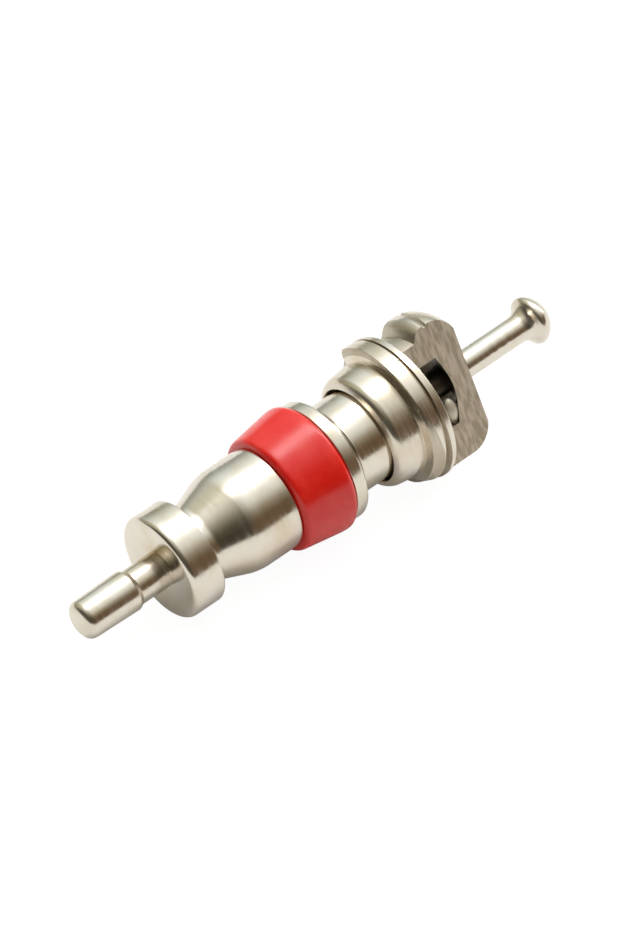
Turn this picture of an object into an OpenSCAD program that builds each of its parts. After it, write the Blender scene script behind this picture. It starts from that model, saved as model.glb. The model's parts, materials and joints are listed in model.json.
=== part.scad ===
// Short spring-loaded core of a tyre valve.
// A threaded plug turns freely on a sealed barrel, and a sprung pin inside both
// pulls a rubber-faced cup against the barrel's nose.
// Each piece is turned about the core's own axis, with z = 0 on the barrel's sealing rim,
// the nose below it and the pin's head above it. The finished core then lies on its side.

/* [Threaded plug] */
// Outside diameter of the thread
thread_d = 5.2; // [4.9:0.05:5.6]
// Length of the full round thread, from its lead-in to the ledge
thread_len = 0.8; // [0.6:0.05:1.2]
// Length of the lead-in cone at the start of the thread
thread_lead = 0.05; // [0.05:0.05:0.3]
// Thickness of the tongue across its two flats
tongue_t = 1.65; // [1.4:0.05:2]
// Height of the tongue above the ledge
tongue_h = 2.3; // [1.9:0.05:2.6]
// Chamfer on the ledge's edge, by which the tongue's ends stand back from the thread
ledge_break = 0.03; // [0.02:0.005:0.04]
// Radius of the round that runs over the tongue's shoulders
crown_r = 0.9; // [0.4:0.05:1.1]
// How far that round turns before it meets the top face, in degrees
crown_arc = 72; // [30:1:80]
// Bore of the plug, which opens into a window in each flat
plug_bore_d = 2.95; // [2.8:0.05:3.2]
// Thickness of the bridge round the pin
bridge_t = 0.6; // [0.4:0.02:0.8]
// Rise of the drilled cone at the end of the bore
drill_rise = 0.42; // [0.2:0.02:0.6]
// Outside diameter of the plain skirt
skirt_d = 4.2; // [4.15:0.05:4.4]
// Height of the skirt from its rolled lip to the thread
skirt_h = 1.1; // [1:0.05:1.5]
// Height of the cone by which the skirt closes in to its rolled lip
lip_cone = 0.42; // [0.36:0.02:0.5]
// Thickness of the lip that is rolled under the barrel's top flange
lip_t = 0.36; // [0.3:0.02:0.4]
// How far the plug is turned about the core's axis, in degrees
plug_turn = 65; // [0:1:180]

/* [Barrel] */
// Diameter of the barrel's plain middle
barrel_d = 3.64; // [3.5:0.02:3.8]
// Diameter of the waist above the sealing rim
waist_d = 2.66; // [2.5:0.02:2.8]
// Height of the waist
waist_h = 0.45; // [0.4:0.05:0.8]
// Height of the cone from the waist to the middle
cone_h = 1.34; // [0.9:0.02:1.5]
// Radius of the round on the sealing rim's outer edge
rim_round = 0.16; // [0.05:0.01:0.2]
// Height from the sealing rim to the gasket's groove
groove_z = 3.37; // [3:0.05:3.8]
// Diameter of the groove's floor
groove_d = 3.1; // [3:0.02:3.3]
// Diameter of the flange behind the gasket
flange_d = 4.3; // [4:0.05:4.4]
// Thickness of that flange
flange_t = 0.45; // [0.2:0.05:0.6]
// Height of the taper from the flange to the neck
flange_taper = 0.3; // [0.1:0.05:0.5]
// Diameter of the neck
neck_d = 3.24; // [3.1:0.02:3.4]
// Length of the neck between the taper and the plug's lip
neck_gap = 1.13; // [0.8:0.05:1.4]
// Diameter of the top flange that the plug turns on
swivel_d = 3.7; // [3.6:0.02:3.76]
// Thickness of the top flange
swivel_t = 0.4; // [0.3:0.02:0.6]
// Bore of the barrel, which holds the spring
barrel_bore_d = 2.62; // [2.56:0.02:2.7]
// Throat that the air passes through
throat_d = 1.5; // [1.3:0.05:1.7]
// Height of the spring's seat above the sealing rim
spring_seat_z = 1.3; // [1.1:0.05:1.5]

/* [Gasket] */
// Length of the sealing ring along the barrel
gasket_len = 2; // [1.9:0.05:2.5]
// Diameter of the ring's front edge
gasket_front_d = 4.04; // [3.9:0.02:4.14]
// Diameter of the ring's widest part
gasket_rear_d = 4.56; // [4.4:0.02:4.6]
// Radius of the ring's rounded back edge
gasket_round = 0.3; // [0.1:0.05:0.4]

/* [Pin] */
// Diameter of the pin's wire
pin_d = 0.94; // [0.86:0.02:1]
// Length of the pin between the top of the plug and the flare of its head
pin_reach = 2.82; // [2.5:0.02:3.5]
// Diameter of the head
head_d = 1.68; // [1.4:0.02:1.9]
// Height of the flare under the head
head_flare = 0.35; // [0.2:0.05:0.6]
// Height of the head's straight rim
head_rim = 0.14; // [0.05:0.01:0.3]
// Height of the head's dome
head_dome = 0.54; // [0.2:0.02:0.6]
// Diameter of the collar that the spring pushes on
collar_d = 2.44; // [2.4:0.02:2.5]
// Thickness of the collar
collar_t = 0.5; // [0.4:0.05:0.7]
// Depth of the collar's top below the ledge, so that a tool's slot passes over it
collar_drop = 0.1; // [0.06:0.02:0.3]
// Diameter of the pin below the cup
foot_d = 1.24; // [1.06:0.02:1.3]
// Length of that stretch below the cup
foot_len = 1.25; // [0.8:0.05:1.5]
// Diameter of the staked end where it is thickest
stake_d = 1.42; // [1.36:0.02:1.5]
// Diameter of the staked end at the nose
nose_d = 1.34; // [1.1:0.02:1.36]
// Length of the staked end
stake_len = 2.15; // [2:0.05:3]
// Radius of the round at the nose
nose_round = 0.3; // [0.1:0.05:0.45]
// Length of the shoulder from the staked end to the pin
stake_taper = 0.1; // [0.05:0.01:0.3]

/* [Spring] */
// Diameter of the spring's wire
wire_d = 0.22; // [0.16:0.02:0.26]
// Diameter of the coil at the middle of the wire
coil_d = 1.94; // [1.8:0.02:2.04]
// Turns between the two closed ends
live_turns = 8; // [5:1:10]
// Closed turns at each end
closed_turns = 1.5; // [1:0.5:2]

/* [Cup] */
// Outside diameter of the cup
cup_d = 3.68; // [3.56:0.02:3.8]
// Wall of the cup
cup_wall = 0.28; // [0.2:0.02:0.3]
// Floor of the cup
cup_floor = 0.43; // [0.25:0.01:0.5]
// Radius of the round on the cup's front edge
cup_round = 0.22; // [0.1:0.02:0.3]
// Depth of the dish in the cup's front face
dish_depth = 0.1; // [0.04:0.01:0.15]
// Flat ring round that dish
dish_land = 0.2; // [0.1:0.05:0.4]
// Thickness of the rim that is rolled over the rubber
rolled_t = 0.1; // [0.08:0.01:0.2]
// Width of that rolled rim over the rubber's edge
rolled_w = 0.08; // [0.05:0.01:0.1]
// Thickness of the rubber disc in the cup
disc_t = 0.7; // [0.6:0.05:1]

/* [Fits] */
// Radial clearance of the swivel
swivel_gap = 0.04; // [0.03:0.01:0.06]
// End play of the swivel on each side
swivel_play = 0.03; // [0.02:0.01:0.05]
// Radial clearance of the pin in the bridge
guide_gap = 0.05; // [0.03:0.01:0.08]
// Clearance between pieces that are pressed together
seat_gap = 0.01; // [0.005:0.005:0.02]

/* [Hidden] */

nickel = "#cfc7b8";
milled_nickel = "#b9b0a0";
red_rubber = "#d82a20";
black_rubber = "#262423";
spring_steel = "#9b9da1";

turn_steps = 96;
round_steps = 6;
clear_cut = 1;

// Heights along the core's axis
cone_top_z = waist_h + cone_h;
flange_z = groove_z + gasket_len;
neck_z = flange_z + flange_t + flange_taper;
lip_z = neck_z + neck_gap;
swivel_z = lip_z + lip_t + swivel_play;
barrel_top_z = swivel_z + swivel_t;
plug_step_z = barrel_top_z + swivel_play;
thread_z = lip_z + skirt_h + thread_lead;
ledge_z = thread_z + thread_len;
plug_top_z = ledge_z + tongue_h;
bore_end_z = plug_top_z - bridge_t - drill_rise;
collar_top_z = ledge_z - collar_drop;
collar_z = collar_top_z - collar_t;
head_z = plug_top_z + pin_reach;
head_rim_z = head_z + head_flare;
head_top_z = head_rim_z + head_rim + head_dome;
cup_floor_z = -disc_t;
cup_front_z = cup_floor_z - cup_floor;
foot_top_z = cup_front_z + dish_depth;
stake_top_z = foot_top_z - foot_len;
nose_z = stake_top_z - stake_len;

// Radii that two pieces share
pin_r = pin_d / 2;
guide_r = pin_r + guide_gap;
swivel_bore_r = swivel_d / 2 + swivel_gap;
lip_r = neck_d / 2 + swivel_gap;
cup_bore_r = cup_d / 2 - cup_wall;
cup_mouth_r = cup_bore_r - rolled_w;

// Dome of the pin's head, as part of a sphere
dome_r = ((head_d / 2) ^ 2 + head_dome ^ 2) / (2 * head_dome);
dome_half = asin(head_d / 2 / dome_r);

// Dish in the cup's front, as part of a sphere
dish_w = cup_d / 2 - cup_round - dish_land;
dish_r = (dish_w ^ 2 + dish_depth ^ 2) / (2 * dish_depth);

// The core lies on the thread's first edge and on the round of the cup's front
lean_rise = thread_d / 2 - (cup_d / 2 - cup_round);
lean_run = thread_z - (cup_front_z + cup_round);
lean = atan2(lean_rise, lean_run) - asin(cup_round / norm([lean_rise, lean_run]));
axis_height = thread_d / 2 * cos(lean) - thread_z * sin(lean);
nose_x = (nose_z + nose_round) * cos(lean) - (nose_d / 2 - nose_round) * sin(lean) - nose_round;
head_x = (head_top_z - dome_r) * cos(lean) + dome_r;
middle_x = (nose_x + head_x) / 2;

// Points of an arc about c, from angle a to angle b
function arc(c, r, a, b, steps = round_steps) =
    [for (i = [0 : steps]) c + r * [cos(a + (b - a) * i / steps), sin(a + (b - a) * i / steps)]];

module turned(outline) {
    rotate_extrude($fn = turn_steps) polygon(outline);
}

// Puts a piece from the core's own axis into its place on the floor
module laid_down() {
    translate([-middle_x, 0, axis_height]) rotate([0, 90 - lean, 0]) children();
}

// Threaded plug: skirt rolled under the barrel's flange, thread, and a tongue with a window in each flat
module plug() {
    tongue_r = thread_d / 2 - ledge_break;
    crown_c = [tongue_r - crown_r, plug_top_z - crown_r * sin(crown_arc)];
    outline = concat(
        [
            [lip_r, lip_z],
            [skirt_d / 2, lip_z + lip_cone],
            [skirt_d / 2, thread_z - thread_lead],
            [thread_d / 2, thread_z],
            [thread_d / 2, ledge_z - ledge_break],
            [tongue_r, ledge_z]
        ],
        arc(crown_c, crown_r, 0, crown_arc),
        [
            [guide_r, plug_top_z],
            [guide_r, plug_top_z - bridge_t],
            [plug_bore_d / 2, bore_end_z],
            [plug_bore_d / 2, plug_step_z],
            [swivel_bore_r, plug_step_z],
            [swivel_bore_r, lip_z + lip_t],
            [lip_r, lip_z + lip_t]
        ]
    );
    cut_w = thread_d + 2 * clear_cut;
    color(milled_nickel) laid_down() rotate([0, 0, plug_turn]) difference() {
        turned(outline);
        for (side = [0, 180])
            rotate([0, 0, side]) translate([tongue_t / 2, -cut_w / 2, ledge_z])
                cube([cut_w, cut_w, tongue_h + clear_cut]);
    }
}

// Barrel: sealing rim, cone, gasket groove, neck and the flange that the plug turns on
module barrel() {
    outline = concat(
        [[throat_d / 2, 0]],
        arc([waist_d / 2 - rim_round, rim_round], rim_round, -90, 0),
        [
            [waist_d / 2, waist_h],
            [barrel_d / 2, cone_top_z],
            [barrel_d / 2, groove_z],
            [groove_d / 2, groove_z],
            [groove_d / 2, flange_z],
            [flange_d / 2, flange_z],
            [flange_d / 2, flange_z + flange_t],
            [neck_d / 2, neck_z],
            [neck_d / 2, swivel_z],
            [swivel_d / 2, swivel_z],
            [swivel_d / 2, barrel_top_z],
            [barrel_bore_d / 2, barrel_top_z],
            [barrel_bore_d / 2, spring_seat_z],
            [throat_d / 2, spring_seat_z]
        ]
    );
    color(nickel) laid_down() turned(outline);
}

// Sealing ring in the barrel's groove, wider towards the flange
module barrel_gasket() {
    gasket_z = groove_z + seat_gap;
    gasket_end_z = flange_z - seat_gap;
    round_c = [gasket_rear_d / 2 - gasket_round, gasket_end_z - gasket_round];
    outline = concat(
        [[groove_d / 2 + seat_gap, gasket_z], [gasket_front_d / 2, gasket_z]],
        arc(round_c, gasket_round, 0, 90),
        [[groove_d / 2 + seat_gap, gasket_end_z]]
    );
    color(red_rubber) laid_down() turned(outline);
}

// Pin with its domed head, the spring's collar and the staked nose
module pin() {
    dome_c = [0, head_top_z - dome_r];
    outline = concat(
        [[0, nose_z]],
        arc([nose_d / 2 - nose_round, nose_z + nose_round], nose_round, -90, 0),
        [
            [stake_d / 2, stake_top_z - stake_taper],
            [foot_d / 2, stake_top_z],
            [foot_d / 2, foot_top_z],
            [pin_r, foot_top_z],
            [pin_r, collar_z],
            [collar_d / 2, collar_z],
            [collar_d / 2, collar_top_z],
            [pin_r, collar_top_z],
            [pin_r, head_z],
            [head_d / 2, head_rim_z]
        ],
        arc(dome_c, dome_r, 90 - dome_half, 90)
    );
    color(nickel) laid_down() turned(outline);
}

// Coil spring between the barrel's seat and the pin's collar
spring_sides = 6;
spring_rings_per_turn = 16;
spring_turns = live_turns + 2 * closed_turns;
spring_rings = spring_turns * spring_rings_per_turn;
spring_low_z = spring_seat_z + wire_d / 2 + seat_gap;
spring_high_z = collar_z - wire_d / 2 - seat_gap;
closed_rise = closed_turns * wire_d;
live_rise = spring_high_z - spring_low_z - 2 * closed_rise;

// Height of the wire after a number of turns: tight at both ends, open between
function wire_z(turn) =
    turn < closed_turns ? spring_low_z + turn * wire_d :
    turn < closed_turns + live_turns ?
        spring_low_z + closed_rise + (turn - closed_turns) / live_turns * live_rise :
    spring_low_z + closed_rise + live_rise + (turn - closed_turns - live_turns) * wire_d;

function wire_point(ring, side) =
    let (
        turn = ring / spring_rings_per_turn,
        a = 360 * turn,
        b = 360 * side / spring_sides,
        r = coil_d / 2 + wire_d / 2 * cos(b)
    )
    [r * cos(a), r * sin(a), wire_z(turn) + wire_d / 2 * sin(b)];

module spring() {
    points = [
        for (ring = [0 : spring_rings])
            for (side = [0 : spring_sides - 1])
                wire_point(ring, side)
    ];
    walls = [
        for (ring = [0 : spring_rings - 1])
            for (side = [0 : spring_sides - 1])
                let (
                    next = (side + 1) % spring_sides,
                    here = ring * spring_sides,
                    ahead = here + spring_sides
                )
                [here + side, ahead + side, ahead + next, here + next]
    ];
    first_end = [for (side = [0 : spring_sides - 1]) side];
    last_end = [for (side = [spring_sides - 1 : -1 : 0]) spring_rings * spring_sides + side];
    color(spring_steel) laid_down() polyhedron(points, concat(walls, [first_end, last_end]), convexity = 10);
}

// Cup with a dished front, rolled over the edge of its rubber disc
module cup() {
    dish_c = [0, foot_top_z - dish_r];
    dish_hole = asin(pin_r / dish_r);
    dish_edge = asin(dish_w / dish_r);
    outline = concat(
        arc(dish_c, dish_r, 90 - dish_hole, 90 - dish_edge),
        arc([cup_d / 2 - cup_round, cup_front_z + cup_round], cup_round, -90, 0),
        arc([cup_d / 2 - rolled_t, 0], rolled_t, 0, 90),
        [
            [cup_mouth_r, rolled_t],
            [cup_mouth_r, 0],
            [cup_bore_r, 0],
            [cup_bore_r, cup_floor_z],
            [pin_r + seat_gap, cup_floor_z]
        ]
    );
    color(nickel) laid_down() turned(outline);
}

// Rubber disc in the cup, which closes on the barrel's rim
module cup_gasket() {
    disc_r = cup_bore_r - seat_gap;
    hole_r = pin_r + seat_gap;
    outline = [[hole_r, cup_floor_z], [disc_r, cup_floor_z], [disc_r, 0], [hole_r, 0]];
    color(black_rubber) laid_down() turned(outline);
}

plug();
barrel();
barrel_gasket();
pin();
spring();
cup();
cup_gasket();
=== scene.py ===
import json
import math

import bmesh
import bpy
from mathutils import Matrix, Vector


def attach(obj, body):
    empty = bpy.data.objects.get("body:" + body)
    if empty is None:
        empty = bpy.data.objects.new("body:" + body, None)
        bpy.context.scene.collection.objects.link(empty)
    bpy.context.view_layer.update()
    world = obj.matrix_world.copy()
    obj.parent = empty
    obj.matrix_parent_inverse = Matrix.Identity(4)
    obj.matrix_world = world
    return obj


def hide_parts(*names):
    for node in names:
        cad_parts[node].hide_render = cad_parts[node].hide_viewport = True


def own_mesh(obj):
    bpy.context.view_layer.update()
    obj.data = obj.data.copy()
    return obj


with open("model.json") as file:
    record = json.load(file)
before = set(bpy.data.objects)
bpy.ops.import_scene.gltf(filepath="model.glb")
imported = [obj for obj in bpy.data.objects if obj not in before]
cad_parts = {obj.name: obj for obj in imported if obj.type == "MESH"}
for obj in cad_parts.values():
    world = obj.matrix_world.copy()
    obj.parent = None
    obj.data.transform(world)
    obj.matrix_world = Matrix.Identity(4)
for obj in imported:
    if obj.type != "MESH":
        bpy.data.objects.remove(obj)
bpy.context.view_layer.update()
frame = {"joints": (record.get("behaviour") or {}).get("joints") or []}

mm = 0.001
fullTurn = 2 * math.pi

# The core lies on its side. Its pieces are turned about z in millimetres,
# with z = 0 on the barrel's sealing rim, and then laid where the CAD core lies.
core = {
    "rimToSwivel": 7.84,  # along the axis, from the sealing rim to the swivel joint
    "steps": 144,         # steps of a full turn
    "roundSteps": 6,      # steps of a rounded corner
    "weld": 1e-5,         # corners nearer than this become one
}
joints = {joint["name"]: joint for joint in frame["joints"]}
coreAxis = Vector(joints["plug_swivel"]["axis"]).normalized()
across = Vector((0, 1, 0))
coreFrame = Matrix((across.cross(coreAxis), across, coreAxis)).transposed().to_4x4()
coreFrame.translation = Vector(joints["plug_swivel"]["pos_m"]) - coreAxis * core["rimToSwivel"] * mm
coreToRow = coreFrame @ Matrix.Diagonal((mm, mm, mm, 1))


def linear(hexColour):
    parts = [int(hexColour[i:i + 2], 16) / 255 for i in (1, 3, 5)]
    return [c / 12.92 if c <= 0.04045 else ((c + 0.055) / 1.055) ** 2.4 for c in parts] + [1]


colourA, colourB, mixedColour = 6, 7, 2  # colour sockets of a Mix node
mostNoise = (0.3, 0.7)                   # nearly all values of a noise lie between these


# Adds a node, sets its properties, and fills its sockets with values or with other nodes' outputs
def addNode(tree, kind, sockets, **settings):
    node = tree.nodes.new(kind)
    for name, value in settings.items():
        setattr(node, name, value)
    for socket, source in sockets.items():
        if isinstance(source, bpy.types.NodeSocket):
            tree.links.new(source, node.inputs[socket])
        else:
            node.inputs[socket].default_value = source
    return node


# A material, its shader, and a place in the core's own millimetres
def newMaterial(name):
    material = bpy.data.materials.new(name)
    material.use_nodes = True
    tree = material.node_tree
    shader = tree.nodes["Principled BSDF"]
    where = addNode(tree, "ShaderNodeTexCoord", {})
    place = addNode(tree, "ShaderNodeMapping", {
        "Vector": where.outputs["Object"],
        "Location": coreFrame.translation,
        "Rotation": coreFrame.to_euler(),
        "Scale": (mm, mm, mm),
    }, vector_type="TEXTURE")
    return material, tree, shader, place.outputs["Vector"]


# Gives a shader its colour, a roughness that follows one pattern and a relief that follows another
def dress(tree, shader, colour, roughness, glossPattern, depth, reliefPattern):
    gloss = addNode(tree, "ShaderNodeMapRange", {
        "Value": glossPattern, "From Min": mostNoise[0], "From Max": mostNoise[1],
        "To Min": roughness[0], "To Max": roughness[1]})
    relief = addNode(tree, "ShaderNodeBump", {
        "Height": reliefPattern, "Strength": 1, "Distance": depth * mm})
    tree.links.new(colour, shader.inputs["Base Color"])
    tree.links.new(gloss.outputs["Result"], shader.inputs["Roughness"])
    tree.links.new(relief.outputs["Normal"], shader.inputs["Normal"])


# Nickel plate on turned brass: a warm, slightly soft mirror with fine lathe lines running round,
# a little yellower where the plate is thin
latheNickel = {
    "plate": "#DAD2C5",
    "thinPlate": "#CDBFA6",
    "patch": 1.3,         # mm across a patch of thin plate
    "thinAt": (0.45, 0.75),  # values of the patches' noise between which the plate thins
    "lineSpacing": 0.09,  # mm, coarser than real lathe lines so that they show
    "lineLength": 4,      # mm
    "lineDepth": 0.0022,  # mm
    "roughness": (0.13, 0.24),
}


def makeLatheNickel(name, look):
    material, tree, shader, place = newMaterial(name)
    patches = addNode(tree, "ShaderNodeTexNoise", {
        "Vector": place, "Scale": 1 / look["patch"], "Detail": 3})
    thin = addNode(tree, "ShaderNodeMapRange", {
        "Value": patches.outputs["Fac"], "From Min": look["thinAt"][0], "From Max": look["thinAt"][1]})
    plate = addNode(tree, "ShaderNodeMix", {
        "Factor": thin.outputs["Result"], colourA: linear(look["plate"]), colourB: linear(look["thinPlate"])},
        data_type="RGBA")
    drawnOut = addNode(tree, "ShaderNodeMapping", {
        "Vector": place,
        "Scale": (1 / look["lineLength"], 1 / look["lineLength"], 1 / look["lineSpacing"])})
    lines = addNode(tree, "ShaderNodeTexNoise", {
        "Vector": drawnOut.outputs["Vector"], "Scale": 1, "Detail": 2})
    dress(tree, shader, plate.outputs[mixedColour], look["roughness"], lines.outputs["Fac"],
          look["lineDepth"], lines.outputs["Fac"])
    shader.inputs["Metallic"].default_value = 1
    return material


# Milled and plated brass: duller than the turned faces, with the cutter's lines and a streaky, dusty bloom
# running across the tongue
milledNickel = {
    "plate": "#D0C4B2",
    "bloom": "#B0A38E",
    "streak": 0.14,       # mm across a streak of the bloom
    "streakLength": 0.6,  # mm along it
    "bloomAt": (0.40, 0.60),  # values of the streaks' noise between which the bloom thickens
    "lineSpacing": 0.08,  # mm between cutter lines, coarser than real ones so that they show
    "linesAlong": 0.3,    # pattern units to a mm along them
    "lineDepth": 0.012,   # mm
    "roughness": (0.34, 0.44),
}


def makeMilledNickel(name, look):
    material, tree, shader, place = newMaterial(name)
    streaked = addNode(tree, "ShaderNodeMapping", {
        "Vector": place,
        "Scale": (1 / look["streakLength"], 1 / look["streakLength"], 1 / look["streak"])})
    streaks = addNode(tree, "ShaderNodeTexNoise", {
        "Vector": streaked.outputs["Vector"], "Scale": 1, "Detail": 4})
    dusty = addNode(tree, "ShaderNodeMapRange", {
        "Value": streaks.outputs["Fac"], "From Min": look["bloomAt"][0], "From Max": look["bloomAt"][1]})
    plate = addNode(tree, "ShaderNodeMix", {
        "Factor": dusty.outputs["Result"], colourA: linear(look["plate"]), colourB: linear(look["bloom"])},
        data_type="RGBA")
    drawnOut = addNode(tree, "ShaderNodeMapping", {
        "Vector": place, "Scale": (look["linesAlong"], look["linesAlong"], 1 / look["lineSpacing"])})
    lines = addNode(tree, "ShaderNodeTexNoise", {
        "Vector": drawnOut.outputs["Vector"], "Scale": 1, "Detail": 3})
    dress(tree, shader, plate.outputs[mixedColour], look["roughness"], streaks.outputs["Fac"],
          look["lineDepth"], lines.outputs["Fac"])
    shader.inputs["Metallic"].default_value = 1
    return material


# Red nitrile rubber, moulded: saturated and softly glossy, with a fine mould texture and a paler rubbed bloom
redRubber = {
    "colour": "#D71A12",
    "bloom": "#DE3226",
    "patch": 0.7,         # mm across a rubbed patch
    "rubbedAt": (0.42, 0.8),  # values of the patches' noise between which the bloom thickens
    "grit": 0.05,         # mm, the mould's texture
    "gritDepth": 0.002,   # mm
    "roughness": (0.17, 0.27),
    "ior": 1.5,
}


def makeRubber(name, look):
    material, tree, shader, place = newMaterial(name)
    patches = addNode(tree, "ShaderNodeTexNoise", {
        "Vector": place, "Scale": 1 / look["patch"], "Detail": 4})
    rubbed = addNode(tree, "ShaderNodeMapRange", {
        "Value": patches.outputs["Fac"], "From Min": look["rubbedAt"][0], "From Max": look["rubbedAt"][1]})
    colour = addNode(tree, "ShaderNodeMix", {
        "Factor": rubbed.outputs["Result"], colourA: linear(look["colour"]), colourB: linear(look["bloom"])},
        data_type="RGBA")
    grit = addNode(tree, "ShaderNodeTexNoise", {
        "Vector": place, "Scale": 1 / look["grit"], "Detail": 2})
    dress(tree, shader, colour.outputs[mixedColour], look["roughness"], patches.outputs["Fac"],
          look["gritDepth"], grit.outputs["Fac"])
    shader.inputs["IOR"].default_value = look["ior"]
    return material


turnedFinish = makeLatheNickel("nickelPlatedBrassTurned", latheNickel)
pinFinish = makeLatheNickel("nickelPlatedBrassDrawn", {
    **latheNickel, "lineSpacing": 0.14, "lineDepth": 0.003, "roughness": (0.14, 0.28)})
grooveFinish = makeLatheNickel("nickelPlatedBrassThread", {
    **latheNickel, "plate": "#BDB3A2", "thinPlate": "#A4967E", "roughness": (0.26, 0.38)})
springFinish = makeLatheNickel("drawnSpringSteel", {
    **latheNickel, "plate": "#A5A6A8", "thinPlate": "#8C8B89", "lineDepth": 0.002,
    "roughness": (0.2, 0.32)})
plugFinish = makeLatheNickel("nickelPlatedBrassChased", {
    **latheNickel, "lineSpacing": 0.11, "lineDepth": 0.006, "roughness": (0.15, 0.28)})
boredFinish = makeLatheNickel("nickelPlatedBrassBored", {
    **latheNickel, "plate": "#D6CEBF", "lineDepth": 0.003, "roughness": (0.5, 0.62)})
# Dark plate for the drill's end inside the plug and for the pin's wire inside it: painted shade deep in the
# bore
drilledShadeFinish = makeLatheNickel("drilledBrassPaintedShade", {
    **latheNickel, "plate": "#5E564B", "thinPlate": "#4A4035", "roughness": (0.4, 0.55)})
milledFinish = makeMilledNickel("nickelPlatedBrassMilled", milledNickel)
redFinish = makeRubber("nitrileRubberRed", redRubber)
blackFinish = makeRubber("nitrileRubberBlack", {
    **redRubber, "colour": "#1E1C1B", "bloom": "#34312F", "roughness": (0.5, 0.68)})
print("materials made:", len(bpy.data.materials))


# Spins an outline of (radius, height, reach of the rounded corner) once about the core's axis
def turned(outline, closed=True, longest=None):
    bm = bmesh.new()
    corners = [bm.verts.new((radius, 0, height)) for radius, height, reach in outline]
    path = corners + corners[:1] if closed else corners
    for pair in zip(path, path[1:]):
        bm.edges.new(pair)
    for corner, (radius, height, reach) in zip(corners, outline):
        if reach:
            bmesh.ops.bevel(bm, geom=[corner], offset=reach, offset_type="OFFSET", affect="VERTICES",
                            segments=core["roundSteps"], profile=0.5, material=-1)
    if longest:
        for edge in bm.edges[:]:
            bmesh.ops.subdivide_edges(bm, edges=[edge], cuts=int(edge.calc_length() / longest))
    bmesh.ops.spin(bm, geom=bm.verts[:] + bm.edges[:], cent=(0, 0, 0), axis=(0, 0, 1),
                   angle=fullTurn, steps=core["steps"], use_merge=True)
    bmesh.ops.remove_doubles(bm, verts=bm.verts, dist=core["weld"])
    bmesh.ops.recalc_face_normals(bm, faces=bm.faces)
    return bm


# Lays a piece where the CAD core lies, and lets it stand for its solid if it has one
def layDown(bm, name, materials, node, body, sharpAngle=38):
    bmesh.ops.transform(bm, matrix=coreToRow, verts=bm.verts)
    mesh = bpy.data.meshes.new(name)
    bm.to_mesh(mesh)
    bm.free()
    for material in materials:
        mesh.materials.append(material)
    mesh.shade_smooth()
    mesh.set_sharp_from_angle(angle=math.radians(sharpAngle))
    piece = bpy.data.objects.new(name, mesh)
    bpy.context.scene.collection.objects.link(piece)
    even = piece.modifiers.new("evenShading", "WEIGHTED_NORMAL")
    even.keep_sharp = True
    if node:
        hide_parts(node)
    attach(piece, body)
    print(name, "faces:", len(mesh.polygons))
    return piece


# Takes the cutters away from a blank, and gives each cut face its cutter's material
def cutAway(blank, cutters):
    held = []
    for bm, material in [blank] + cutters:
        mesh = bpy.data.meshes.new("cutting")
        bm.to_mesh(mesh)
        bm.free()
        mesh.materials.append(material)
        held.append(bpy.data.objects.new("cutting", mesh))
        bpy.context.scene.collection.objects.link(held[-1])
    for cutter in held[1:]:
        cut = held[0].modifiers.new("cut", "BOOLEAN")
        cut.object = cutter
        cut.operation = "DIFFERENCE"
        cut.solver = "EXACT"
        cut.material_mode = "TRANSFER"
    cutMesh = bpy.data.meshes.new_from_object(held[0].evaluated_get(bpy.context.evaluated_depsgraph_get()))
    materials = list(cutMesh.materials)
    result = bmesh.new()
    result.from_mesh(cutMesh)
    for thing in held:
        bpy.data.objects.remove(thing)
    return result, materials


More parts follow.
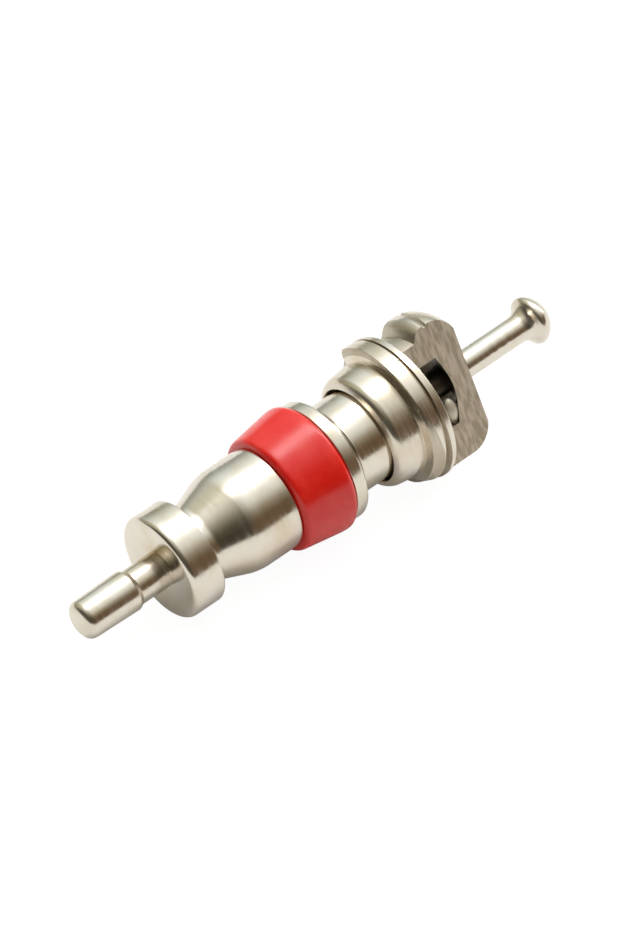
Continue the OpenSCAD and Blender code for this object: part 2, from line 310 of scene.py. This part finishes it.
# Threaded plug: a skirt closed in to a rolled lip, a right-hand thread that starts bluntly, and a tongue
# milled between two flats, with the bore open in each of them
plug = {
    "outline": [             # radius, height, reach of the rounded corner
        (1.74, 7.25, 0.02),  # lip
        (2.00, 7.42, 0.14),  # end of the lip's cone
        (2.07, 7.85, 0.25),
        (2.10, 8.32, 0.01),  # skirt
        (2.60, 8.34, 0.05),  # first turn of the thread
        (2.60, 9.18, 0.02),  # ledge
        (2.57, 9.20, 0),     # tongue's end
        (2.57, 11.30, 0.65),  # crown
        (1.948, 11.50, 0.07),  # top
        (0.485, 11.50, 0.04),  # hole for the pin
        (0.485, 10.90, 0),
        (1.475, 10.48, 0),   # end of the drilled bore
        (1.475, 8.07, 0),
        (1.89, 8.07, 0),     # step over the barrel's flange
        (1.89, 7.61, 0),
        (1.66, 7.61, 0.04),
        (1.66, 7.42, 0),     # inside of the lip, opening towards the neck
    ],
    "bored": (8.10, 10.40),  # heights between which the inside is bored
    "drilled": (10.40, 10.92),  # and those of the drill's end, darkened with painted shade
    "cuts": [                # thread cutters: outline, angle and height of their start, and how they wind on
        {                    # slopes the first turn's front, more towards the floor and on to its blunt start
            "outline": [(2.34, -0.4), (2.34, -0.04), (2.47, 0.30), (2.57, 0.55), (2.65, 0.80),
                        (2.8, 0.85), (2.8, -0.4)],
            "angle": 157.5, "height": 8.34,
            "stages": [(180, 0, 0.32), (152, 0, 0)],  # degrees, rise, how far it comes in
        },
        {                    # and rounds it a little on the other side
            "outline": [(2.20, -0.3), (2.20, -0.02), (2.40, 0.04), (2.50, 0.12), (2.56, 0.30),
                        (2.8, 0.5), (2.8, -0.3)],
            "angle": 227.5, "height": 8.34,
            "stages": [(-180, 0, 0.25)],
        },
        {                    # climbs round the back to the blunt start of the first turn
            "outline": [(2.11, -0.7), (2.11, -0.02), (2.45, 0.06), (2.55, 0.15), (2.62, 0.30),
                        (2.8, 0.35), (2.8, -0.7)],
            "angle": 309.5, "height": 8.29,
            "stages": [(180, 0.56, 0)],
        },
        {                    # thin start of the thread's groove
            "outline": [(2.49, -0.02), (2.49, 0.02), (2.6, 0.045), (2.8, 0.08), (2.8, -0.08),
                        (2.6, -0.045)],
            "angle": 120, "height": 8.96,
            "stages": [(170, -0.09, 0)],
        },
        {                    # which widens towards the floor
            "outline": [(2.26, -0.03), (2.26, 0.03), (2.34, 0.08), (2.45, 0.14), (2.6, 0.20), (2.8, 0.26),
                        (2.8, -0.26), (2.6, -0.20), (2.45, -0.14), (2.34, -0.08)],
            "angle": 187.5, "height": 8.88,
            "stages": [(180, 0, 0.3), (40, 0.05, 0)],
        },
        {                    # wide notch in one end of the tongue
            "outline": [(2.2, -0.48), (2.2, 0.22), (2.27, 0.28), (2.42, 0.38), (2.52, 0.50), (2.575, 0.68),
                        (2.8, 0.75), (2.8, -0.48)],
            "angle": 115.5, "height": 9.52,
            "stages": [(80, 0.24, 0)],
        },
        {                    # and a shallow one above it
            "outline": [(2.49, -0.03), (2.49, 0.03), (2.6, 0.12), (2.8, 0.16), (2.8, -0.16), (2.6, -0.12)],
            "angle": 115.5, "height": 10.86,
            "stages": [(80, -0.5, 0)],
        },
    ],
    "ledge": 9.20,
    "tongue": 1.65,          # across the flats
    "turned": 65,            # degrees from the core's x axis to a flat's normal
    "mill": 6,               # size of the block that mills a flat
    "sliver": 1e-3,          # thinnest edge that the cutters may leave
    "inward": -0.01,         # a face looks towards the axis if its normal times its place is below this
}


# A thread cutter: its outline wound about the core's axis in stages
def wound(cutter):
    bm = bmesh.new()
    away = sum(inward for turn, rise, inward in cutter["stages"])
    face = bm.faces.new([bm.verts.new((radius + away, 0, height)) for radius, height in cutter["outline"]])
    last = [face] + face.edges[:] + face.verts[:]
    for turn, rise, inward in cutter["stages"]:
        steps = int(core["steps"] * abs(turn) / 360)
        spun = bmesh.ops.spin(bm, geom=last, cent=(inward / 2, 0, 0), axis=(0, 0, 1),
                              angle=math.radians(turn), steps=steps, dvec=(0, 0, rise / steps))
        last = spun["geom_last"]
    bmesh.ops.recalc_face_normals(bm, faces=bm.faces)
    bmesh.ops.rotate(bm, verts=bm.verts, matrix=Matrix.Rotation(math.radians(cutter["angle"]), 3, "Z"))
    bmesh.ops.translate(bm, verts=bm.verts, vec=(0, 0, cutter["height"]))
    return bm


def makePlug():
    cutters = [(wound(cutter), grooveFinish) for cutter in plug["cuts"]]
    for side in (0, math.pi):
        mill = bmesh.new()
        bmesh.ops.create_cube(mill, size=plug["mill"])
        bmesh.ops.translate(mill, verts=mill.verts,
                            vec=(plug["tongue"] / 2 + plug["mill"] / 2, 0, plug["ledge"] + plug["mill"] / 2))
        bmesh.ops.rotate(mill, verts=mill.verts,
                         matrix=Matrix.Rotation(math.radians(plug["turned"]) + side, 3, "Z"))
        cutters.append((mill, milledFinish))
    cut, materials = cutAway((turned(plug["outline"]), plugFinish), cutters)
    bmesh.ops.triangulate(cut, faces=[face for face in cut.faces if len(face.verts) > 4])
    bmesh.ops.remove_doubles(cut, verts=cut.verts, dist=plug["sliver"])
    # The bored stretch gets a rougher plate, and the drill's end gets the dark plate, which is painted shade
    for stretch, finish in (("bored", boredFinish), ("drilled", drilledShadeFinish)):
        materials.append(finish)
        low, high = plug[stretch]
        for face in cut.faces:
            middle = face.calc_center_median()
            if low < middle.z < high and face.normal.xy.dot(middle.xy) < plug["inward"]:
                face.material_index = len(materials) - 1
    return layDown(cut, "threadedPlug", materials, "plug", "plug", sharpAngle=30)


makePlug()


# Burr that the drill left in the lower corner of the window
burr = {
    "size": (0.24, 0.46, 0.28),  # half its depth, width and height
    "place": (-0.58, -0.80, 10.48),  # away from the axis, along the flat, up
    "segments": (32, 20),        # round it, and from pole to pole
}


def makeBurr():
    bm = bmesh.new()
    around, upwards = burr["segments"]
    bmesh.ops.create_uvsphere(bm, u_segments=around, v_segments=upwards, radius=1)
    bmesh.ops.scale(bm, verts=bm.verts, vec=burr["size"])
    bmesh.ops.translate(bm, verts=bm.verts, vec=burr["place"])
    bmesh.ops.rotate(bm, verts=bm.verts, matrix=Matrix.Rotation(math.radians(plug["turned"]), 3, "Z"))
    return layDown(bm, "windowBurr", [boredFinish], None, "plug")


makeBurr()


# Barrel: sealing rim, cone, seat of the red ring, neck, and the flange that the plug turns on
barrel = {
    "outline": [
        (0.75, 0.00, 0.05),  # throat
        (1.33, 0.00, 0.16),  # sealing rim
        (1.33, 0.45, 0.10),  # waist
        (1.82, 1.79, 0.30),  # end of the cone
        (1.82, 3.37, 0.06),  # plain middle
        (1.55, 3.37, 0),     # groove of the red ring
        (1.55, 5.37, 0),
        (2.15, 5.37, 0.05),  # flange
        (2.15, 5.82, 0.07),
        (1.62, 6.12, 0.10),  # neck
        (1.62, 7.64, 0.03),
        (1.85, 7.64, 0.03),  # flange that the plug turns on
        (1.85, 8.04, 0.03),
        (1.31, 8.04, 0.05),  # bore
        (1.31, 1.30, 0),     # spring's seat
        (0.75, 1.30, 0.05),
    ],
}
layDown(turned(barrel["outline"]), "barrelShell", [turnedFinish], "barrel", "barrel")


# Red sealing ring: narrower at the front, fullest near the flange, with soft moulded edges
sealRing = {
    "outline": [
        (1.56, 3.38, 0.03),
        (2.03, 3.38, 0.17),  # rounded front edge
        (2.18, 4.30, 0.60),  # slight bulge
        (2.28, 5.04, 0.10),  # widest part
        (2.28, 5.36, 0.28),  # rounded back edge
        (1.56, 5.36, 0.03),
    ],
}
layDown(turned(sealRing["outline"]), "redSealRing", [redFinish], "barrel_gasket", "barrel")


# Pin: staked nose, wire, spring collar, and a button head, with the heading tool's grip marks on the wire
pin = {
    "outline": [
        (0.00, -4.43, 0),
        (0.67, -4.43, 0.30),  # nose
        (0.71, -2.38, 0.08),  # staked end, thickest here
        (0.62, -2.28, 0.05),
        (0.62, -1.03, 0.02),  # foot, against the cup
        (0.47, -1.03, 0),
        (0.47, 8.60, 0),
        (1.22, 8.60, 0.06),   # spring collar
        (1.22, 9.10, 0.10),
        (0.47, 9.10, 0.08),
        (0.47, 14.37, 0.24),  # flare under the head
        (0.85, 14.67, 0.08),  # head
        (0.85, 14.81, 0.06),
        (0.70, 15.06, 0.14),
        (0.40, 15.26, 0.14),
        (0.00, 15.35, 0),
    ],
    "shadedInPlug": (8.5, 11.0),     # heights between which the wire is inside the plug, darkened with painted shade
    "longestEdge": 0.09,
    "gripMarks": [12.78, 13.12, 13.52],  # heights of the marks
    "gripSide": 65,           # degrees round the core
    "gripDepth": 0.03,
    "gripWidth": 0.1,
    "gripNarrowing": 3,       # power of the cosine by which a mark fades round the wire
}


def makePin():
    bm = turned(pin["outline"], closed=False, longest=pin["longestEdge"])
    for vert in bm.verts:
        near = min(abs(vert.co.z - height) for height in pin["gripMarks"])
        if near < pin["gripWidth"]:
            side = math.atan2(vert.co.y, vert.co.x) - math.radians(pin["gripSide"])
            roundFade = abs(math.cos(side)) ** pin["gripNarrowing"]
            alongFade = 0.5 + 0.5 * math.cos(math.pi * near / pin["gripWidth"])
            vert.co.xy *= 1 - pin["gripDepth"] * roundFade * alongFade / vert.co.xy.length
    low, high = pin["shadedInPlug"]
    for face in bm.faces:
        # The wire and collar inside the plug get the dark plate: painted shade
        face.material_index = int(low < face.calc_center_median().z < high)
    return layDown(bm, "pressPin", [pinFinish, drilledShadeFinish], "pin", "pin")


makePin()


# Spring: close-wound at both ends, open between, from its seat in the barrel to the pin's collar
spring = {
    "wire": 0.22,       # diameter of the wire
    "wireSides": 14,
    "coil": 1.94,       # diameter at the middle of the wire
    "low": 1.42,        # height of the wire's middle at the seat
    "high": 8.48,       # and under the collar
    "closedTurns": 1.5,
    "closedGap": 0.01,  # between the closed turns
    "openTurns": 8,
    "stepsPerTurn": 40,
    "seat": 1.30,       # heights between which it is squeezed
    "top": 8.59,
}


def makeSpring():
    bm = bmesh.new()
    bmesh.ops.create_circle(bm, radius=spring["wire"] / 2, segments=spring["wireSides"])
    bmesh.ops.rotate(bm, verts=bm.verts, matrix=Matrix.Rotation(math.pi / 2, 3, "X"))
    bmesh.ops.translate(bm, verts=bm.verts, vec=(spring["coil"] / 2, 0, spring["low"]))
    closedRise = spring["closedTurns"] * (spring["wire"] + spring["closedGap"])
    openRise = spring["high"] - spring["low"] - 2 * closedRise
    wireEnd = bm.verts[:] + bm.edges[:]
    for turns, rise in ((spring["closedTurns"], closedRise), (spring["openTurns"], openRise),
                        (spring["closedTurns"], closedRise)):
        steps = int(turns * spring["stepsPerTurn"])
        coiled = bmesh.ops.spin(bm, geom=wireEnd, cent=(0, 0, 0), axis=(0, 0, 1),
                                angle=turns * fullTurn, steps=steps, dvec=(0, 0, rise / steps))
        wireEnd = coiled["geom_last"]
    bmesh.ops.holes_fill(bm, edges=bm.edges)
    bmesh.ops.recalc_face_normals(bm, faces=bm.faces)
    piece = layDown(bm, "coilSpring", [springFinish], "spring", "barrel")
    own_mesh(piece)


makeSpring()


# Cup: pressed, with a dished front and a back rim rolled over the rubber disc
cup = {
    "outline": [
        (0.48, -1.03, 0),    # pin's hole
        (0.95, -1.055, 0.3),
        (1.42, -1.13, 0.14),  # edge of the dish
        (1.84, -1.13, 0.22),  # front edge
        (1.84, 0.10, 0.09),  # rolled rim
        (1.48, 0.10, 0.03),
        (1.48, 0.00, 0),
        (1.56, 0.00, 0),     # seat of the disc
        (1.56, -0.70, 0),
        (0.48, -0.70, 0),
    ],
}
layDown(turned(cup["outline"]), "sealCup", [turnedFinish], "cup", "pin")

# Rubber disc in the cup, pressed flat against the barrel's rim
cupDisc = {
    "outline": [
        (0.48, -0.70, 0),
        (1.55, -0.70, 0),
        (1.55, 0.00, 0.04),
        (0.48, 0.00, 0.03),
    ],
}
layDown(turned(cupDisc["outline"]), "cupDisc", [blackFinish], "cup_gasket", "pin")

# Plain white floor that keeps a faint shadow, and shows white to the camera and in the metal
floorLook = {
    "size": 1.5,         # metres to each side
    "paper": "#E6E6E6",
    "roughness": 0.9,
    "glow": 1.12,        # brightness of the plain white
    "seenGlow": 0.85,    # share of it that the camera sees
    "mirrorGlow": 0.08,  # and that the metal mirrors
}


def makeFloor():
    bm = bmesh.new()
    bmesh.ops.create_grid(bm, x_segments=1, y_segments=1, size=floorLook["size"])
    mesh = bpy.data.meshes.new("floor")
    bm.to_mesh(mesh)
    bm.free()
    floor = bpy.data.objects.new("floor", mesh)
    bpy.context.scene.collection.objects.link(floor)
    paper = bpy.data.materials.new("whitePaper")
    paper.use_nodes = True
    tree = paper.node_tree
    shader = tree.nodes["Principled BSDF"]
    shader.inputs["Base Color"].default_value = linear(floorLook["paper"])
    shader.inputs["Roughness"].default_value = floorLook["roughness"]
    seen = addNode(tree, "ShaderNodeLightPath", {})
    mirrored = addNode(tree, "ShaderNodeMath", {
        0: seen.outputs["Is Glossy Ray"], 1: seen.outputs["Is Transmission Ray"]}, operation="MAXIMUM")
    glint = addNode(tree, "ShaderNodeMath", {
        0: mirrored.outputs[0], 1: floorLook["mirrorGlow"]}, operation="MULTIPLY")
    share = addNode(tree, "ShaderNodeMath", {
        0: seen.outputs["Is Camera Ray"], 1: floorLook["seenGlow"], 2: glint.outputs[0]},
        operation="MULTIPLY_ADD")
    white = addNode(tree, "ShaderNodeEmission", {"Strength": floorLook["glow"]})
    mixed = addNode(tree, "ShaderNodeMixShader", {
        0: share.outputs[0], 1: shader.outputs[0], 2: white.outputs[0]})
    tree.links.new(mixed.outputs[0], tree.nodes["Material Output"].inputs["Surface"])
    mesh.materials.append(paper)


makeFloor()

# Studio: a broad soft light overhead that fades to a dim warm room in front and a grey one behind,
# with the dark of the camera's own side to the left. Colours by degrees up from the front horizon,
# each with how bright it looks, where 1 is white.
studio = {
    "right": [
        (0, "#735F4B", 1), (28, "#735F4B", 1), (35, "#847965", 1), (43, "#9F9584", 1), (51, "#C3BEB2", 1),
        (61, "#F1F3ED", 1), (72, "#FDFFFD", 1.12), (82, "#FBFFFF", 1.4), (90, "#FFFFFF", 1.75),
        (100, "#FFFFFF", 7), (110, "#FFFFFF", 7), (120, "#FFFFFF", 1.75), (128, "#FAFFFF", 1.4),
        (140, "#F8FFFF", 1.12), (155, "#E3EDEB", 1), (167, "#B8BEB4", 1), (180, "#9A9E95", 1),
    ],
    "left": [
        (0, "#4A433B", 1), (26, "#4A433B", 1), (43, "#5F5D50", 1), (60, "#958F80", 1), (77, "#CECCC1", 1),
        (93, "#F8F8F0", 1), (112, "#F8F8F0", 1), (130, "#DADABF", 1), (152, "#C4C0AA", 1),
        (180, "#9A9788", 1),
    ],
    "farLeft": "#5C5850",
    "leftFrom": (0.1, -0.2),       # X of a direction, between which the room's right side turns into its left
    "farLeftFrom": (-0.45, -0.75),  # and then into the dark of the camera's side
    "brightest": 7,                # of the levels above
    "softBox": {
        "place": (-0.06, -0.12, 0.42),  # metres
        "size": 0.3,
        "light": 0.1,              # about its share of a full white
    },
}


def makeStudio():
    world = bpy.data.worlds.new("studio")
    bpy.context.scene.world = world
    world.use_nodes = True
    tree = world.node_tree
    direction = addNode(tree, "ShaderNodeTexCoord", {})
    parts = addNode(tree, "ShaderNodeSeparateXYZ", {"Vector": direction.outputs["Generated"]})
    ahead = addNode(tree, "ShaderNodeMath", {0: parts.outputs["Y"], 1: -1}, operation="MULTIPLY")
    rolled = addNode(tree, "ShaderNodeCombineXYZ", {"X": ahead.outputs[0], "Y": parts.outputs["Z"]})
    turn = addNode(tree, "ShaderNodeTexGradient", {"Vector": rolled.outputs["Vector"]},
                   gradient_type="RADIAL")
    sides = {}
    for side in ("right", "left"):
        sides[side] = addNode(tree, "ShaderNodeValToRGB", {"Fac": turn.outputs["Fac"]})
        stops = sides[side].color_ramp.elements
        while len(stops) < len(studio[side]):
            stops.new(0.5)
        for stop, (angle, colour, level) in zip(stops, studio[side]):
            stop.position = 0.5 + angle / 360
            stop.color = [part * level / studio["brightest"] for part in linear(colour)[:3]] + [1]
    leftness = addNode(tree, "ShaderNodeMapRange", {
        "Value": parts.outputs["X"],
        "From Min": studio["leftFrom"][0], "From Max": studio["leftFrom"][1]})
    room = addNode(tree, "ShaderNodeMix", {
        "Factor": leftness.outputs["Result"], colourA: sides["right"].outputs["Color"],
        colourB: sides["left"].outputs["Color"]}, data_type="RGBA")
    farLeftness = addNode(tree, "ShaderNodeMapRange", {
        "Value": parts.outputs["X"],
        "From Min": studio["farLeftFrom"][0], "From Max": studio["farLeftFrom"][1]})
    farColour = [part / studio["brightest"] for part in linear(studio["farLeft"])[:3]] + [1]
    whole = addNode(tree, "ShaderNodeMix", {
        "Factor": farLeftness.outputs["Result"], colourA: room.outputs[mixedColour], colourB: farColour},
        data_type="RGBA")
    seen = addNode(tree, "ShaderNodeLightPath", {})
    white = [1 / studio["brightest"]] * 3 + [1]
    shown = addNode(tree, "ShaderNodeMix", {
        "Factor": seen.outputs["Is Camera Ray"], colourA: whole.outputs[mixedColour], colourB: white},
        data_type="RGBA")
    tree.links.new(shown.outputs[mixedColour], tree.nodes["Background"].inputs["Color"])
    tree.nodes["Background"].inputs["Strength"].default_value = studio["brightest"]
    softBox = bpy.data.lights.new("softBox", "AREA")
    softBox.size = studio["softBox"]["size"]
    lamp = bpy.data.objects.new("softBox", softBox)
    lamp.location = studio["softBox"]["place"]
    lamp.rotation_euler = lamp.location.to_track_quat("Z", "Y").to_euler()
    softBox.energy = studio["softBox"]["light"] * math.pi * 4 * lamp.location.length_squared
    lamp.visible_glossy = False
    bpy.context.scene.collection.objects.link(lamp)


makeStudio()
bpy.context.scene.view_settings.view_transform = "Standard"
print("studio lit")

# Camera at the photograph's angle
view = {
    "azimuth": -41.0,
    "elevation": 43.0,
    "distance": 200.0,         # mm
    "pixelsPerMm": 31.2,       # at the target
    "target": (0, 0, 1.9),     # mm
    "targetPixel": (315.4, 475),
    "image": (621, 931),       # pixels
    "sensor": 36,              # mm
    "clipStart": 0.01,         # metres
}


def makeCamera():
    azimuth, elevation = math.radians(view["azimuth"]), math.radians(view["elevation"])
    right = Vector((math.cos(azimuth), math.sin(azimuth), 0))
    back = Vector((math.sin(azimuth) * math.cos(elevation), -math.cos(azimuth) * math.cos(elevation),
                   math.sin(elevation)))
    up = back.cross(right)
    aside, below = (pixel - size / 2 for pixel, size in zip(view["targetPixel"], view["image"]))
    middle = Vector(view["target"]) + (up * below - right * aside) / view["pixelsPerMm"]
    lens = bpy.data.cameras.new("camera")
    lens.sensor_width = view["sensor"]
    lens.lens = view["pixelsPerMm"] * view["distance"] * lens.sensor_width / max(view["image"])
    lens.clip_start = view["clipStart"]
    camera = bpy.data.objects.new("camera", lens)
    camera.matrix_world = Matrix((right, up, back)).transposed().to_4x4()
    camera.location = (middle + back * view["distance"]) * mm
    bpy.context.scene.collection.objects.link(camera)
    bpy.context.scene.camera = camera


makeCamera()
print("camera set")
